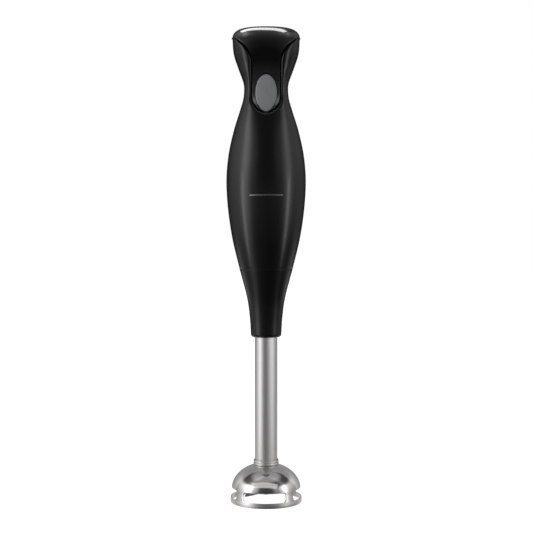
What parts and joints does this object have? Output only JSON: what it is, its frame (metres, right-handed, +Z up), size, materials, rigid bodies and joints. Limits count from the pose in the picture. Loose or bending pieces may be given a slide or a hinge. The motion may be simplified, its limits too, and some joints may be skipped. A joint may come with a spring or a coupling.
{
  "type": "immersion blender",
  "caption": "Upright hand blender: waisted glossy black handle with oval power button, screw-off satin steel leg, domed blade guard with side windows and a bent blade.",
  "frame": {"origin": "on the tool's long axis at the level of the guard's rim, the lowest point", "axes": "+Z up along the motor's axis, towards the crown; +X to the right and +Y to the back as seen by a user facing the button, which faces -Y"},
  "size_m": [0.0636, 0.062, 0.375],
  "materials": {
    "black_plastic": "black ABS with a high gloss, moulded",
    "cover_plastic": "black ABS with a satin gloss, moulded",
    "silver_print": "satin silver inlay",
    "black_rubber": "matt black rubber",
    "frame_plastic": "dark glass-filled nylon",
    "screw_steel": "zinc-plated steel",
    "switch_plastic": "dark blue-grey moulding",
    "terminal_brass": "stamped brass",
    "board_laminate": "green circuit laminate",
    "capacitor_shell": "yellow film-capacitor box",
    "copper_wire": "enamelled copper wire",
    "laminated_steel": "stacked electrical steel",
    "bracket_plastic": "brown phenolic moulding",
    "bracket_metal": "die-cast",
    "sintered_bronze": "oil-filled sintered bronze",
    "mount_rubber": "black rubber",
    "carbon": "electrographite",
    "spring_steel": "spring wire",
    "button_plastic": "mid-grey soft-sheen plastic",
    "symbol_plastic": "lighter grey raised symbol",
    "plunger_plastic": "red acetal",
    "shaft_steel": "ground steel",
    "commutator_copper": "turned copper",
    "nylon": "natural nylon",
    "seal_rubber": "nitrile rubber",
    "tube_steel": "satin stainless steel",
    "guard_steel": "stainless steel, spun and half polished",
    "blade_steel": "ground stainless steel"
  },
  "bodies": {
    "motor_body": {"front_casing": "black_plastic", "rear_casing": "black_plastic", "top_cover": "cover_plastic", "accent_strip": "silver_print", "cord_gland": "black_rubber", "cord_clamp": "frame_plastic", "clamp_screws": "screw_steel", "casing_screws": "screw_steel", "switch_body": "switch_plastic", "switch_terminals": "terminal_brass", "circuit_board": "board_laminate", "suppressor_capacitor": "capacitor_shell", "filter_chokes": "copper_wire", "stator_core": "laminated_steel", "field_coils": "copper_wire", "upper_bracket": "bracket_plastic", "lower_bracket": "bracket_metal", "motor_bolts": "screw_steel", "upper_bearing": "sintered_bronze", "lower_bearing": "sintered_bronze", "upper_motor_mount": "mount_rubber", "lower_motor_mount": "mount_rubber", "brush_holders": "terminal_brass", "carbon_brushes": "carbon", "brush_springs": "spring_steel", "lock_ring": "frame_plastic"},
    "power_button": {"button_cap": "button_plastic", "button_symbol": "symbol_plastic", "button_spring": "spring_steel"},
    "plunger": {"switch_plunger": "plunger_plastic"},
    "armature": {"motor_shaft": "shaft_steel", "armature_core": "laminated_steel", "armature_windings": "copper_wire", "commutator": "commutator_copper", "cooling_fan": "nylon", "drive_dog": "shaft_steel"},
    "seal_ring": {"socket_seal": "seal_rubber"},
    "leg": {"leg_collar": "black_plastic", "leg_tube": "tube_steel", "tube_sleeve": "tube_steel", "bell_guard": "guard_steel", "bush_housing": "nylon", "upper_bush": "sintered_bronze", "bearing_carrier": "nylon", "lower_bush": "sintered_bronze", "shaft_seal": "seal_rubber"},
    "blade_shaft": {"drive_shaft": "shaft_steel", "driven_coupling": "nylon", "shaft_spacer": "shaft_steel", "blade": "blade_steel", "blade_nut": "blade_steel"}
  },
  "joints": [
    {"name": "motor_spin", "type": "hinge", "parent": "motor_body", "child": "armature", "pos_m": [0, 0, 0.245], "axis": [0, 0, 1], "continuous": true},
    {"name": "button_press", "type": "slide", "parent": "motor_body", "child": "power_button", "axis": [0, 1, 0], "range_m": [0, 0.0016], "stiffness_N_per_m": 900, "springref_m": -0.001, "deforming": ["button_spring"]},
    {"name": "plunger_slide", "type": "slide", "parent": "motor_body", "child": "plunger", "axis": [0, 1, 0], "range_m": [0, 0.0016]},
    {"name": "leg_drop", "type": "slide", "parent": "motor_body", "child": "seal_ring", "axis": [0, 0, -1], "range_m": [0, 0.009]},
    {"name": "leg_twist", "type": "hinge", "parent": "seal_ring", "child": "leg", "pos_m": [0, 0, 0.18], "axis": [0, 0, -1], "range_deg": [0, 108]},
    {"name": "blade_spin", "type": "hinge", "parent": "seal_ring", "child": "blade_shaft", "pos_m": [0, 0, 0.01], "axis": [0, 0, 1], "continuous": true}
  ],
  "couplings": [
    {"joint": "plunger_slide", "follows": "button_press", "ratio": 1},
    {"joint": "leg_drop", "follows": "leg_twist", "m_per_rad": 0.0047746},
    {"joint": "blade_spin", "follows": "motor_spin", "ratio": 1}
  ]
}
